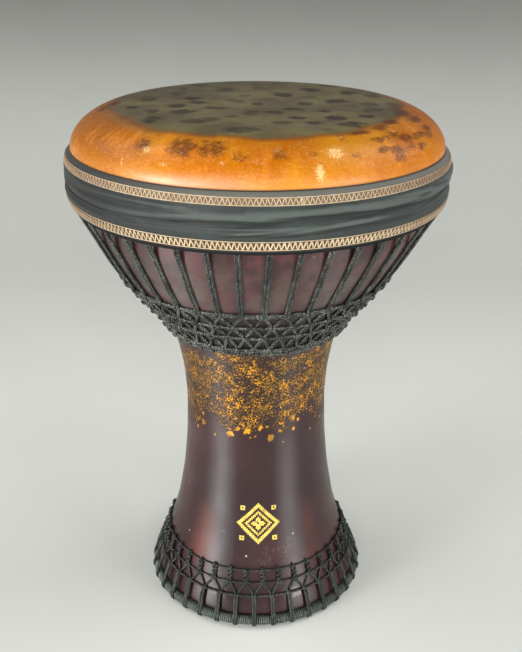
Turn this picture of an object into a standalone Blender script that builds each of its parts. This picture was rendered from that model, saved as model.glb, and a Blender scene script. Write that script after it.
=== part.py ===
"""Bass darbuka: a rope-tensioned goblet drum that stands on its foot.

Metres, +Z up, front at -Y. The origin is the centre of the plane that the foot rests on.
"""
import math

import bpy

# Fits between neighbouring pieces
GAP = 0.0003                  # clearance between faces that touch
SAG_ROOM = 0.0002             # extra room under cords, whose straight runs cut the curve of the clay
FACETS = 42                   # flat sides of a turned piece

# Clay body, outside: radii, and the height of each stretch of its curve
FOOT_R = 0.0940               # foot rim, straight up over FOOT_EDGE_H
FOOT_EDGE_H = 0.0160
FOOT_FLARE_R = 0.0884         # where the foot starts to turn in
FOOT_FLARE_H = 0.0253
STEM_FLARE_R = 0.0769
STEM_FLARE_H = 0.0367
STEM_R = 0.0695
STEM_LOW_H = 0.0410
WAIST_R = 0.0645              # narrowest place
STEM_HIGH_H = 0.0790          # up to the waist
NECK_R = 0.0722               # the stretches from here up are counted down from the collar
NECK_H = 0.0276
BOWL_LOW_R = 0.0868
BOWL_LOW_H = 0.0322
BOWL_MID_R = 0.1127
BOWL_MID_H = 0.0368
BOWL_HIGH_R = 0.1363
BOWL_HIGH_H = 0.0340
COLLAR_LEAN = 0.0041          # how much narrower than the skin the collar is at its foot
COLLAR_H = 0.0442
CLAY_WALL = 0.0080

# Skin head
HEIGHT = 0.4644               # playing surface above the floor
FLAT_R = 0.1050               # flat middle, where the skin leaves the clay rim
SHOULDER_DROP = 0.0322        # height of the rounded shoulder
SKIN_R = 0.1544               # outside of the skin below the shoulder
SKIN_T = 0.0006
SKIN_TURN = 0.0030            # width of the edge turned out under the hoop

# Flesh hoop
HOOP_DROP = 0.0262            # hoop centre below the shoulder's foot
HOOP_WIRE_R = 0.0020
HOOK_START = math.radians(10) # the rope rounds the hoop in two bends, from here
HOOK_BEND = math.radians(50)  # and this far on

# Ropes and cords
CORD_R = 0.0012
THIN_CORD_R = 0.0009
WAIST_CORD_R = 0.0014
NEST = 0.0003                 # how far a crossing cord settles between those it binds
LEAN = 1.05                   # a leaning cord or wall is this much wider along the radius
STRAPS = 42                   # pairs of strands from the hoop to the bowl net
FIRST_STRAP = math.radians(3.6)
FOOT_PAIRS = 36               # pairs of strands on the foot
FIRST_FOOT_PAIR = math.radians(-0.5)
ROPE_BEND_DROP = 0.0045       # where the rope rounds the collar's foot, below it
ROPE_BEND_LIFT = 0.0046       # and how far off the clay it runs there

# Bowl net: its first row below the collar's foot, then the height of each round
NET_DROP = 0.0661
NET_ROUND_HEIGHTS = (0.0145, 0.0137, 0.0162)

# Foot net
FOOT_ROW_LOW_Z = 0.0295
FOOT_ROUND_H = 0.0117         # the zigzag round above the lowest row
FOOT_UPRIGHT_H = 0.0114       # the uprights above the zigzag round
FOOT_RING_R = 0.0046          # thickness of the foot ring, as a radius
LASHING_START = math.radians(25)
LASHING_BEND = math.radians(45)

# Cover band and its trims
BAND_T = 0.0008
LINING_T = 0.0005
BAND_DEPTH = 0.0438           # from the shoulder's foot down
HEM_WIDTH = 0.0038            # how far the top hem leans out from the skin
HEM_DROP = 0.0026
BAND_TAPER = 0.0004           # how much less the band's radius is above its bulge
TRIM_MARGIN = 0.0026          # plain band beyond a trim before the band bends
LINING_SHOWS = 0.0027         # how far the lining reaches below the band
LINING_ABOVE_HOOP = 0.0030
TRIM_T = 0.0004
UPPER_TRIM_DROP = 0.0009      # top of the upper trim below the hem
UPPER_TRIM_WIDTH = 0.0057
LOWER_TRIM_RISE = 0.0014      # bottom of the lower trim above the band's edge
LOWER_TRIM_WIDTH = 0.0086

COLLAR_TOP_Z = HEIGHT - SHOULDER_DROP
COLLAR_TOP_R = SKIN_R - SKIN_T - GAP
COLLAR_FOOT_R = SKIN_R - COLLAR_LEAN
COLLAR_FOOT_Z = COLLAR_TOP_Z - COLLAR_H
BOWL_HIGH_Z = COLLAR_FOOT_Z - BOWL_HIGH_H
BOWL_MID_Z = BOWL_HIGH_Z - BOWL_MID_H
BOWL_LOW_Z = BOWL_MID_Z - BOWL_LOW_H
NECK_Z = BOWL_LOW_Z - NECK_H
FOOT_FLARE_Z = FOOT_EDGE_H + FOOT_FLARE_H
STEM_FLARE_Z = FOOT_FLARE_Z + STEM_FLARE_H
STEM_Z = STEM_FLARE_Z + STEM_LOW_H
WAIST_Z = STEM_Z + STEM_HIGH_H
HOOP_Z = COLLAR_TOP_Z - HOOP_DROP
BAND_LOW_Z = COLLAR_TOP_Z - BAND_DEPTH
UPPER_TRIM_Z = COLLAR_TOP_Z - HEM_DROP - UPPER_TRIM_DROP
LOWER_TRIM_Z = BAND_LOW_Z + LOWER_TRIM_RISE
NET_ROW_1_Z = COLLAR_FOOT_Z - NET_DROP
FOOT_ROW_MID_Z = FOOT_ROW_LOW_Z + FOOT_ROUND_H
FOOT_ROW_TOP_Z = FOOT_ROW_MID_Z + FOOT_UPRIGHT_H
KNOT_HALF = CORD_R + GAP      # cord tips stop this far above or below a row
FIRST_LAYER = GAP + SAG_ROOM + CORD_R
SECOND_LAYER = FIRST_LAYER + 2 * CORD_R - NEST
SHOULDER_STEPS = 4
SLOPE_REACH = 0.0040          # half of the stretch over which the clay's slope is read
SLOPE_TRIES = 6


def to_corners(radius, sides=FACETS):
    """Corner radius of a ring with flat sides whose sides keep the given radius."""
    return radius / math.cos(math.pi / sides)


def curve_stations():
    """The clay's curve from foot to collar, as heights and radii."""
    return (
        (0.0, FOOT_R),
        (FOOT_EDGE_H, FOOT_R),
        (FOOT_FLARE_Z, FOOT_FLARE_R),
        (STEM_FLARE_Z, STEM_FLARE_R),
        (STEM_Z, STEM_R),
        (WAIST_Z, WAIST_R),
        (NECK_Z, NECK_R),
        (BOWL_LOW_Z, BOWL_LOW_R),
        (BOWL_MID_Z, BOWL_MID_R),
        (BOWL_HIGH_Z, BOWL_HIGH_R),
        (COLLAR_FOOT_Z, COLLAR_FOOT_R),
        (COLLAR_TOP_Z, COLLAR_TOP_R),
    )


def smooth_points(stations, steps):
    """Points of a smooth curve through the stations, with the given steps between each two."""
    count = len(stations)
    slopes = []
    for i in range(count):
        low = stations[max(i - 1, 0)]
        high = stations[min(i + 1, count - 1)]
        slopes.append((high[1] - low[1]) / (high[0] - low[0]))
    slopes[0] = 0.0
    slopes[1] = 0.0
    slopes[-2] = (stations[-1][1] - stations[-2][1]) / (stations[-1][0] - stations[-2][0])
    slopes[-1] = slopes[-2]
    points = [stations[0]]
    for i in range(count - 1):
        (z0, r0), (z1, r1) = stations[i], stations[i + 1]
        span = z1 - z0
        for k in range(1, steps[i] + 1):
            t = k / steps[i]
            rise = t * t * (3 - 2 * t)
            radius = r0 + (r1 - r0) * rise
            radius += span * slopes[i] * t * (1 - t) ** 2
            radius -= span * slopes[i + 1] * t * t * (1 - t)
            points.append((z0 + t * span, radius))
    return points


CLAY_STEPS = (1, 2, 2, 1, 2, 2, 2, 2, 2, 2, 1)
CLAY_CURVE = smooth_points(curve_stations(), CLAY_STEPS)


def between(points, z):
    """Radius at height z on a line through (height, radius) points, lowest first."""
    for (z0, r0), (z1, r1) in zip(points, points[1:]):
        if z <= z1:
            break
    return r0 + (r1 - r0) * (z - z0) / (z1 - z0)


def clay_radius(z):
    return between(CLAY_CURVE, z)


def on_clay(z, lift):
    """Point (radius, height) at height z that lies lift off the clay, square to its surface."""
    base = z
    for _ in range(SLOPE_TRIES):
        rise = clay_radius(base + SLOPE_REACH) - clay_radius(base - SLOPE_REACH)
        slope = rise / (2 * SLOPE_REACH)
        tilt = math.atan(slope)
        base = z + lift * math.sin(tilt)
    return clay_radius(base) + lift * math.cos(tilt), z


def hoop_radius():
    """Centre line of the hoop, which lies on the skin's skirt."""
    return clay_radius(HOOP_Z) + GAP + SKIN_T + GAP + HOOP_WIRE_R


def around(centre, reach, turns):
    """Points at a reach from a centre (radius, height), at angles counted up from outwards."""
    points = []
    for turn in turns:
        points.append((centre[0] + reach * math.cos(turn), centre[1] + reach * math.sin(turn)))
    return points


def rope_over_hoop():
    """The two points of a strand at the hoop: beside it and over the top of it."""
    reach = (HOOP_WIRE_R + GAP + CORD_R) / math.cos(HOOK_BEND / 2)
    return around((hoop_radius(), HOOP_Z), reach, (HOOK_START, HOOK_START + HOOK_BEND))


def rope_bend():
    bend_z = COLLAR_FOOT_Z - ROPE_BEND_DROP
    return clay_radius(bend_z) + ROPE_BEND_LIFT, bend_z


def over_rope(z):
    """Inside corner radius of a turned layer that clears the rope at height z."""
    side = rope_over_hoop()[0]
    bend = rope_bend()
    share = min(1.0, (z - bend[1]) / (side[1] - bend[1]))
    rope = bend[0] + (side[0] - bend[0]) * share
    return to_corners(rope + LEAN * CORD_R + GAP)


def band_outline():
    """The band's outside, as (radius, height) points from its top edge down."""
    bulge = over_rope(HOOP_Z) + LINING_T + GAP + BAND_T
    hem_top = SKIN_R + GAP + BAND_T
    edge = over_rope(BAND_LOW_Z) + LINING_T + GAP + BAND_T
    upper_bend = UPPER_TRIM_Z - UPPER_TRIM_WIDTH - TRIM_MARGIN
    lower_bend = LOWER_TRIM_Z + LOWER_TRIM_WIDTH + TRIM_MARGIN
    return (
        (hem_top, COLLAR_TOP_Z + GAP),
        (hem_top + HEM_WIDTH, COLLAR_TOP_Z - HEM_DROP),
        (bulge - BAND_TAPER, upper_bend),
        (bulge, (upper_bend + lower_bend) / 2),
        (bulge, lower_bend),
        (edge, BAND_LOW_Z),
    )


def band_radius(z):
    """Outside radius of the band at height z."""
    points = [(height, radius) for radius, height in reversed(band_outline())]
    return between(points, z)


def round_point(radius, angle, z):
    """Point at an angle counted from the front, -Y, towards +X."""
    return radius * math.sin(angle), -radius * math.cos(angle), z


def material(name, colour, roughness, metallic=0.0):
    mat = bpy.data.materials.new(name)
    mat.use_nodes = True
    shader = mat.node_tree.nodes["Principled BSDF"]
    shader.inputs["Base Color"].default_value = (*colour, 1.0)
    shader.inputs["Roughness"].default_value = roughness
    shader.inputs["Metallic"].default_value = metallic
    return mat


def collection(name):
    group = bpy.data.collections.new(name)
    bpy.context.scene.collection.children.link(group)
    return group


def turned(group, name, outline, mat, thickness):
    """Turn (radius, height) points, from the top down the outside, about Z."""
    mesh = bpy.data.meshes.new(name)
    verts = [(radius, 0.0, z) for radius, z in outline]
    edges = [(i, i + 1) for i in range(len(outline) - 1)]
    mesh.from_pydata(verts, edges, [])
    obj = bpy.data.objects.new(name, mesh)
    group.objects.link(obj)
    screw = obj.modifiers.new("turn", "SCREW")
    screw.axis = "Z"
    screw.angle = math.tau
    screw.steps = FACETS
    screw.render_steps = FACETS
    screw.use_merge_vertices = True
    screw.merge_threshold = 0.00001
    screw.use_smooth_shade = True
    wall = obj.modifiers.new("wall", "SOLIDIFY")
    wall.thickness = thickness
    wall.offset = -1.0
    wall.use_even_offset = True
    mesh.materials.append(mat)


def torus(group, name, place, thickness, segments, mat):
    """A ring at place (radius, height), with the given segments around it and round its tube."""
    bpy.ops.mesh.primitive_torus_add(
        major_radius=place[0], minor_radius=thickness, location=(0.0, 0.0, place[1]),
        major_segments=segments[0], minor_segments=segments[1])
    obj = bpy.context.object
    obj.name = name
    obj.data.name = name
    obj.data.shade_smooth()
    for owner in list(obj.users_collection):
        owner.objects.unlink(obj)
    group.objects.link(obj)
    obj.data.materials.append(mat)


def cord(group, name, points, radius, mat):
    """An endless cord through the points."""
    curve = bpy.data.curves.new(name, "CURVE")
    curve.dimensions = "3D"
    curve.bevel_depth = radius
    curve.bevel_resolution = 0
    spline = curve.splines.new("POLY")
    spline.points.add(len(points) - 1)
    for target, point in zip(spline.points, points):
        target.co = (*point, 1.0)
    spline.use_cyclic_u = True
    curve.materials.append(mat)
    obj = bpy.data.objects.new(name, curve)
    group.objects.link(obj)


def ring_cord(group, name, z, lift, radius, sides, mat):
    """A level cord round the clay."""
    track, height = on_clay(z, lift)
    points = []
    for i in range(sides):
        points.append(round_point(to_corners(track, sides), math.tau * i / sides, height))
    cord(group, name, points, radius, mat)


def zigzag_cord(group, name, top_z, low_z, count, first, mat):
    """One round of net: down and up count times, with its top tips at the first angle."""
    top = on_clay(top_z, FIRST_LAYER)
    low = on_clay(low_z, FIRST_LAYER)
    points = []
    for i in range(2 * count):
        radius, z = low if i % 2 else top
        points.append(round_point(radius, first + math.pi * i / count, z))
    cord(group, name, points, CORD_R, mat)


def paired_cord(group, name, stations, count, first, mat):
    """Pairs of strands, joined round what they hook on at the last station.

    At the first station the cord runs on to the next pair.
    """
    half = CORD_R + GAP / 2
    points = []
    for i in range(count):
        middle = first + math.tau * i / count
        for radius, z in stations:
            points.append(round_point(radius, middle - half / radius, z))
        for radius, z in reversed(stations):
            points.append(round_point(radius, middle + half / radius, z))
    cord(group, name, points, CORD_R, mat)


def make_clay_shell(group):
    """One fired piece, open at the mouth under the skin and at the foot."""
    outline = []
    across = COLLAR_TOP_R - FLAT_R
    up = SHOULDER_DROP - SKIN_T - GAP
    for i in range(SHOULDER_STEPS):
        t = math.radians(90) * i / SHOULDER_STEPS
        outline.append((FLAT_R + across * math.sin(t), COLLAR_TOP_Z + up * math.cos(t)))
    for z, radius in reversed(CLAY_CURVE):
        outline.append((radius, z))
    glaze = material("glazed_clay", (0.040, 0.022, 0.023), 0.22)
    turned(group, "clay_shell", outline, glaze, CLAY_WALL)


def make_drum_skin(group):
    """The head: flat, over the rim, down inside the hoop and turned out under it."""
    outline = [(0.0, HEIGHT)]
    across = SKIN_R - FLAT_R
    for i in range(SHOULDER_STEPS + 1):
        t = math.radians(90) * i / SHOULDER_STEPS
        outline.append((FLAT_R + across * math.sin(t), COLLAR_TOP_Z + SHOULDER_DROP * math.cos(t)))
    turn_z = HOOP_Z - HOOP_WIRE_R - GAP
    skirt = clay_radius(turn_z) + GAP + SKIN_T
    outline.append((skirt, turn_z))
    outline.append((skirt + SKIN_TURN, turn_z))
    hide = material("drum_hide", (0.62, 0.22, 0.015), 0.45)
    turned(group, "drum_skin", outline, hide, SKIN_T)


def make_flesh_hoop(group):
    steel = material("hoop_steel", (0.45, 0.45, 0.46), 0.35, 1.0)
    torus(group, "flesh_hoop", (hoop_radius(), HOOP_Z), HOOP_WIRE_R, (FACETS, 6), steel)


def make_tension_rope(group, mat):
    """One rope: over the hoop, down the bowl, along the net's top row and up again."""
    side, top = rope_over_hoop()
    run = on_clay(NET_ROW_1_Z + KNOT_HALF, FIRST_LAYER)
    low = on_clay((BOWL_HIGH_Z + NET_ROW_1_Z) / 2, FIRST_LAYER)
    high = on_clay(BOWL_HIGH_Z, FIRST_LAYER)
    stations = (run, low, high, rope_bend(), side, top)
    paired_cord(group, "tension_rope", stations, STRAPS, FIRST_STRAP, mat)


def net_rows():
    """Heights of the bowl net's rows of knots, from the top."""
    rows = [NET_ROW_1_Z]
    for height in NET_ROUND_HEIGHTS:
        rows.append(rows[-1] - height)
    return rows


def make_bowl_net(group, mat):
    rows = net_rows()
    half_step = math.pi / STRAPS
    for i in range(len(rows) - 1):
        top_z = rows[i] - KNOT_HALF
        low_z = rows[i + 1] + KNOT_HALF
        first = FIRST_STRAP + i * half_step
        zigzag_cord(group, f"net_round_{i + 1}", top_z, low_z, STRAPS, first, mat)
    for i, z in enumerate(rows):
        ring_cord(group, f"net_cord_{i + 1}", z, SECOND_LAYER, CORD_R, STRAPS, mat)


def make_waist_cords(group, mat):
    lift = GAP + SAG_ROOM + WAIST_CORD_R
    upper_z = net_rows()[-1] - KNOT_HALF - WAIST_CORD_R
    lower_z = upper_z - 2 * WAIST_CORD_R - GAP
    ring_cord(group, "waist_cord_upper", upper_z, lift, WAIST_CORD_R, STRAPS, mat)
    ring_cord(group, "waist_cord_lower", lower_z, lift, WAIST_CORD_R, STRAPS, mat)


def foot_ring_place():
    """Centre line (radius, height) of the foot ring, clear of the floor and of its lashing."""
    radius = to_corners(FOOT_R + GAP + FOOT_RING_R, FOOT_PAIRS)
    return radius, FOOT_RING_R + 2 * CORD_R + 2 * GAP


def make_foot_ring(group):
    rope = material("ring_rope", (0.020, 0.020, 0.020), 0.75)
    torus(group, "foot_ring", foot_ring_place(), FOOT_RING_R, (FOOT_PAIRS, 8), rope)


def make_foot_net(group, mat):
    reach = (FOOT_RING_R + GAP + CORD_R) / math.cos(LASHING_BEND / 2)
    turns = [LASHING_START - i * LASHING_BEND for i in range(3)]
    stations = [on_clay(FOOT_ROW_LOW_Z - KNOT_HALF, FIRST_LAYER)]
    stations += around(foot_ring_place(), reach, turns)
    paired_cord(group, "foot_lashing", stations, FOOT_PAIRS, FIRST_FOOT_PAIR, mat)
    half_step = math.pi / FOOT_PAIRS
    between_pairs = FIRST_FOOT_PAIR + half_step
    zigzag_cord(group, "foot_net_round", FOOT_ROW_MID_Z - KNOT_HALF,
                FOOT_ROW_LOW_Z + KNOT_HALF, FOOT_PAIRS, between_pairs, mat)
    upright_top = on_clay(FOOT_ROW_TOP_Z - 2 * CORD_R - 2 * GAP, FIRST_LAYER)
    upright_low = on_clay(FOOT_ROW_MID_Z + KNOT_HALF, FIRST_LAYER)
    paired_cord(group, "foot_uprights", (upright_top, upright_low), FOOT_PAIRS, between_pairs, mat)
    ring_cord(group, "foot_cord_upper", FOOT_ROW_TOP_Z, FIRST_LAYER, CORD_R, FOOT_PAIRS, mat)
    ring_cord(group, "foot_cord_middle", FOOT_ROW_MID_Z, SECOND_LAYER, THIN_CORD_R,
              FOOT_PAIRS, mat)
    ring_cord(group, "foot_cord_lower", FOOT_ROW_LOW_Z, SECOND_LAYER, CORD_R, FOOT_PAIRS, mat)


def make_cover_band(group):
    cloth = material("band_cloth", (0.085, 0.095, 0.090), 0.55)
    turned(group, "cover_band", band_outline(), cloth, BAND_T)


def make_band_lining(group):
    low_z = BAND_LOW_Z - LINING_SHOWS
    heights = (HOOP_Z + LINING_ABOVE_HOOP, HOOP_Z, low_z)
    outline = [(over_rope(z) + LINING_T, z) for z in heights]
    cloth = material("lining_cloth", (0.012, 0.012, 0.012), 0.8)
    turned(group, "band_lining", outline, cloth, LINING_T)


def make_stitching(group):
    thread = material("stitch_thread", (0.56, 0.36, 0.18), 0.7)
    spans = (
        ("upper_stitching", UPPER_TRIM_Z, UPPER_TRIM_Z - UPPER_TRIM_WIDTH),
        ("lower_stitching", LOWER_TRIM_Z + LOWER_TRIM_WIDTH, LOWER_TRIM_Z),
    )
    for name, top_z, low_z in spans:
        outline = [(band_radius(z) + LEAN * (GAP + TRIM_T), z) for z in (top_z, low_z)]
        turned(group, name, outline, thread, TRIM_T)


def main():
    for obj in list(bpy.data.objects):
        bpy.data.objects.remove(obj, do_unlink=True)
    group = collection("bass_darbuka")
    rope = material("braided_cord", (0.018, 0.019, 0.018), 0.6)
    make_clay_shell(group)
    make_drum_skin(group)
    make_flesh_hoop(group)
    make_tension_rope(group, rope)
    make_bowl_net(group, rope)
    make_waist_cords(group, rope)
    make_foot_ring(group)
    make_foot_net(group, rope)
    make_cover_band(group)
    make_band_lining(group)
    make_stitching(group)


main()
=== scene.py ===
import math
import random
from typing import NamedTuple

import bpy
import numpy as np
from mathutils import Matrix, Vector
from mathutils.bvhtree import BVHTree


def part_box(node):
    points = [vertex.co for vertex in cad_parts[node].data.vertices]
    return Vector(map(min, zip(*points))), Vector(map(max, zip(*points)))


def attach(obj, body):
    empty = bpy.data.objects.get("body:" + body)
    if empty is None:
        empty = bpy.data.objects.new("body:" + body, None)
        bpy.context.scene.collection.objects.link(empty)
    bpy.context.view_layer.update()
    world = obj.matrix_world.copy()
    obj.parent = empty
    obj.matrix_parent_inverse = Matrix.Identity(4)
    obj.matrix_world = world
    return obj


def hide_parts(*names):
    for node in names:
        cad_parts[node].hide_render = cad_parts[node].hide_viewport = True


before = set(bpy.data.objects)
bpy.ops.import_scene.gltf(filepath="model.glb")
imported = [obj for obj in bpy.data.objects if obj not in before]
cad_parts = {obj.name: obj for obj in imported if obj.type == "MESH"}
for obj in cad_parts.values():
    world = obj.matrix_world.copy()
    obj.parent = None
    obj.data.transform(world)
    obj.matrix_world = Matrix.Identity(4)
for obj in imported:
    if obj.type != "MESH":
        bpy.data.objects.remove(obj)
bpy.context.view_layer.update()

# The looks of the bass darbuka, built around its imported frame.
# Metres, +Z up, front at -Y. Angles count from the front towards +X, in radians.
# Cloth, cord and clay are placed by what the frame's nodes measure.

TAU = math.tau

# Camera, from the fit of the photograph's round edges
CAMERA_PLACE = (0.00368, -0.75516, 0.59859)
CAMERA_TILT = math.radians(24.03)     # down from level
CAMERA_ROLL = 0.00587
CAMERA_LENS = 49.70                   # for the 36 mm sensor
CAMERA_SENSOR = 36.0

# Counts and first angles of the rope work
STRAPS = 42
FIRST_STRAP = math.radians(3.6)
FOOT_PAIRS = 36
FIRST_FOOT_PAIR = math.radians(-0.5)

# Cords: radius, and half the distance between the two strands of a pair
STRAP_R, STRAP_HALF = 0.00115, 0.00116
NET_CORD_R = 0.00124
KNOT_CORD_R = 0.00095
WAIST_CORD_R = 0.00125
FOOT_CORD_R, FOOT_HALF = 0.00100, 0.00102
THIN_CORD_R = 0.00085
WINDING_R = 0.00098                   # cord wound round the foot ring
THREAD_R = 0.00033
HOOP_WIRE_R = 0.0020
CORD_STEP, THREAD_STEP, WINDING_STEP = 0.00046, 0.0008, 0.0012

# Lifts of a cord's middle off the clay, square to it: lying on it, and hooked over another cord
CORD_LIFT, TIP_LIFT = 0.0013, 0.0022

# The strands of the rope: how far under the band and off the clay they bend, and off the hoop's middle
BEND_DROP, BEND_LIFT = 0.0045, 0.0046
BESIDE_HOOP, OVER_HOOP = 0.0038, 0.0035

# Cords wound round a level cord: lift off the clay, half width, half height, turns, pitch
NET_KNOT = (0.0024, 0.0014, 0.0019, 1.4, 0.0016)
WAIST_TIE = (0.0016, 0.0015, 0.0036, 1.2, 0.0014)
FOOT_KNOT_LOW = (0.0026, 0.0014, 0.0018, 1.3, 0.0016)
FOOT_KNOT_MID = (0.0025, 0.0013, 0.0017, 1.4, 0.0016)
FOOT_KNOT_TOP = (0.0019, 0.0014, 0.0018, 1.6, 0.0016)

# The foot ring lies a little lower and wider than its level torus in the frame
RING_DROP, RING_SPREAD = 0.0016, 0.0006
RING_ROPE_R = 0.0046
RING_DENT = 0.0008                    # how far a lashing pulls the rope in

# Turned pieces: points of a round, for clay, hide and lining, and band, and rows of the cloth
CLAY_STEPS, HIDE_STEPS, BAND_STEPS = 240, 480, 640
BAND_ROWS, LINING_ROWS = 100, 24
PROFILE_STEP, INNER_STEP = 0.0025, 0.004
CLAY_WALL = 0.0080
FOOT_BEVEL = 0.0012

# How much the clay flares further, above and behind the foot ring: heights, and radius added
FLARE_Z = (0.0, 0.004, 0.008, 0.0105, 0.012, 0.016, 0.020, 0.024, 0.028, 0.034)
FLARE_R = (0.0004, 0.0008, 0.0014, 0.0034, 0.0044, 0.0039, 0.0030, 0.0020, 0.0010, 0.0)

# Head
HEAD_FLAT_R = 0.1050
HEAD_STAIN_R = 0.1195                 # the stained ring starts here, and further out in front
SKIN_T = 0.0006
SKIN_GAP = 0.0003                     # between hide and clay
SKIN_MIDDLE_R = 0.0005                # of the flat middle face
SKIRT_TURN = 0.003                    # width of the skirt's edge, turned out under the hoop

# Band and lining
BAND_T, LINING_T = 0.0010, 0.0006
BAND_SET_IN = 0.0004

# Sideways lean of the thrown clay: height, and how far its middle has moved
LEAN_Z = (0.0, 0.020, 0.055, 0.150, 0.220, 0.270, 0.325, 0.385, 0.5)
LEAN_X = (0.0, -0.0003, -0.0007, -0.0004, -0.0010, -0.0013, -0.0014, 0.0, 0.0)


def srgb(red, green, blue):
    """A colour as it shows in the photograph, 0 to 255, as a linear colour with alpha."""
    channels = []
    for value in (red, green, blue):
        c = value / 255
        channels.append(c / 12.92 if c <= 0.04045 else ((c + 0.055) / 1.055) ** 2.4)
    return (*channels, 1.0)


def smooth(value, start, end):
    """Smoothly from 0 at start to 1 at end."""
    t = np.clip((np.asarray(value, float) - start) / (end - start), 0.0, 1.0)
    return t * t * (3 - 2 * t)


class Value:
    """An output of a material's node, a number or a colour for each point, to calculate with."""

    def __init__(self, material, socket):
        self.material = material
        self.socket = socket

    def __add__(self, other):
        return self.material.maths("ADD", self, other)

    def __sub__(self, other):
        return self.material.maths("SUBTRACT", self, other)

    def __rsub__(self, other):
        return self.material.maths("SUBTRACT", other, self)

    def __mul__(self, other):
        return self.material.maths("MULTIPLY", self, other)

    def __abs__(self):
        return self.material.maths("ABSOLUTE", self)

    def ramp(self, start, end, low=0.0, high=1.0):
        """Smoothly from low at start to high at end."""
        return self.material.node("MapRange", (self, start, end, low, high), interpolation_type="SMOOTHSTEP")

    def near(self, middle, width):
        """1 at middle, smoothly down to 0 at width away."""
        return abs(self - middle).ramp(width, 0.0)

    def over(self, share, colour):
        """This colour, with another one over it where share is up to 1."""
        return self.material.mix(share, self, colour)


class Material:
    """A node material made with short calls. Positions are the object's own, in metres."""

    def __init__(self, name):
        self.mat = bpy.data.materials.new(name)
        self.mat.use_nodes = True
        self.tree = self.mat.node_tree
        self.shader = self.tree.nodes["Principled BSDF"]
        self.place = self.node("TexCoord", out="Object")
        split = self.node("SeparateXYZ", (self.place,)).socket.node
        self.x, self.y, self.z = [Value(self, output) for output in split.outputs]

    def node(self, kind, inputs=(), out=0, **settings):
        """An output of a new node. Its inputs are given in order, or in a dict by name or number."""
        node = self.tree.nodes.new("ShaderNode" + kind)
        for name, setting in settings.items():
            setattr(node, name, setting)
        for key, value in inputs.items() if isinstance(inputs, dict) else enumerate(inputs):
            self.link(value, node.inputs[key])
        return Value(self, node.outputs[out])

    def link(self, source, target):
        """Connect a Value to a socket, or set the socket to a number or a colour."""
        if isinstance(source, Value):
            self.tree.links.new(source.socket, target)
        else:
            target.default_value = source

    def set(self, **values):
        """Shader sockets by name, with _ for a space."""
        for name, value in values.items():
            self.link(value, self.shader.inputs[name.replace("_", " ")])

    def mark(self, name):
        """A number that the mesh holds for each point."""
        return self.node("Attribute", out="Fac", attribute_name=name)

    def maths(self, operation, *values):
        return self.node("Math", values, operation=operation)

    def distance(self, across, along):
        return self.maths("SQRT", across * across + along * along)

    def angle(self):
        """Angle from the front towards +X."""
        return self.maths("ARCTAN2", self.x, self.y * -1.0)

    def spots(self, share, places, arm, ragged):
        """share, and 1 in spots (angle, height, radius) on clay of radius arm. ragged moves their edges."""
        for turn, height, size in places:
            far = self.distance((self.angle() - turn) * arm, self.z - height)
            share = self.maths("MAXIMUM", share, (far + ragged).ramp(size, size * 0.76))
        return share

    def stretched(self, x=1.0, y=1.0, z=1.0):
        return self.node("Mapping", {"Vector": self.place, "Scale": (x, y, z)})

    def noise(self, scale, detail=2.0, rough=0.5, place=None, distortion=0.0):
        return self.node("TexNoise", {"Vector": place or self.place, "Scale": scale, "Detail": detail,
                                      "Roughness": rough, "Distortion": distortion})

    def cells(self, scale):
        """Distance to, and a random number for, the nearest of many scattered points."""
        far = self.node("TexVoronoi", {"Vector": self.place, "Scale": scale})
        colour = Value(self, far.socket.node.outputs["Color"])
        return far, self.node("SeparateColor", (colour,))

    def mix(self, share, *colours):
        """From one colour to another. Each is a Value, or three numbers as srgb takes them."""
        first, second = [c if isinstance(c, Value) else srgb(*c) for c in colours]
        return self.node("Mix", {0: share, 6: first, 7: second}, out=2, data_type="RGBA")

    def bump(self, height, distance, strength=1.0, under=None):
        inputs = {"Height": height, "Distance": distance, "Strength": strength}
        if under is not None:
            inputs["Normal"] = under
        return self.node("Bump", inputs)


# Measuring the frame

def ray_profile(node, low, high, step):
    """Outside radius of a turned node at even heights, read at +X where its corners lie."""
    tree = BVHTree.FromObject(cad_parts[node], bpy.context.evaluated_depsgraph_get())
    heights = np.arange(low, high + step / 2, step)
    radii = []
    for z in heights:
        hit = tree.ray_cast(Vector((0.4, 0.0, min(z, high))), Vector((-1.0, 0.0, 0.0)))[0]
        radii.append(hit.x if hit else radii[-1])
    return heights, np.array(radii)


def softened(values, spread):
    """Values averaged with their neighbours, spread counted in steps, ends held."""
    reach = int(3 * spread)
    weights = np.exp(-0.5 * (np.arange(-reach, reach + 1) / spread) ** 2)
    weights /= weights.sum()
    before = 2 * values[0] - values[reach:0:-1]
    after = 2 * values[-1] - values[-2:-reach - 2:-1]
    return np.convolve(np.concatenate([before, values, after]), weights, "valid")


def ring_place(node):
    """Centre line (radius, height) of a level cord."""
    corners = np.array([v.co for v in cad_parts[node].data.vertices])
    radii = np.hypot(corners[:, 0], corners[:, 1])
    return (radii.min() + radii.max()) / 2, (corners[:, 2].min() + corners[:, 2].max()) / 2


BAND_LOW, BAND_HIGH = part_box("cover_band")[0].z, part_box("cover_band")[1].z
HEAD_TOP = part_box("drum_skin")[1].z
SKIN_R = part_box("drum_skin")[1].x
SHOULDER_FOOT = BAND_HIGH - 0.0003
CLAY_Z, CLAY_ROUGH_R = ray_profile("clay_shell", 0.0, SHOULDER_FOOT, 0.001)
CLAY_R = softened(CLAY_ROUGH_R, 5.0) + np.interp(CLAY_Z, FLARE_Z, FLARE_R)
CLAY_SLOPE = np.gradient(CLAY_R, CLAY_Z)
BAND_Z, BAND_ROUGH_R = ray_profile("cover_band", BAND_LOW + 0.0002, BAND_HIGH - 0.0004, 0.0005)
BAND_R = softened(BAND_ROUGH_R, 3.0) - BAND_SET_IN
UPPER_TRIM = [corner.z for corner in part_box("upper_stitching")]
LOWER_TRIM = [corner.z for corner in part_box("lower_stitching")]
LOWER_TRIM[1] -= 0.0014               # narrower than in the frame
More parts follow.
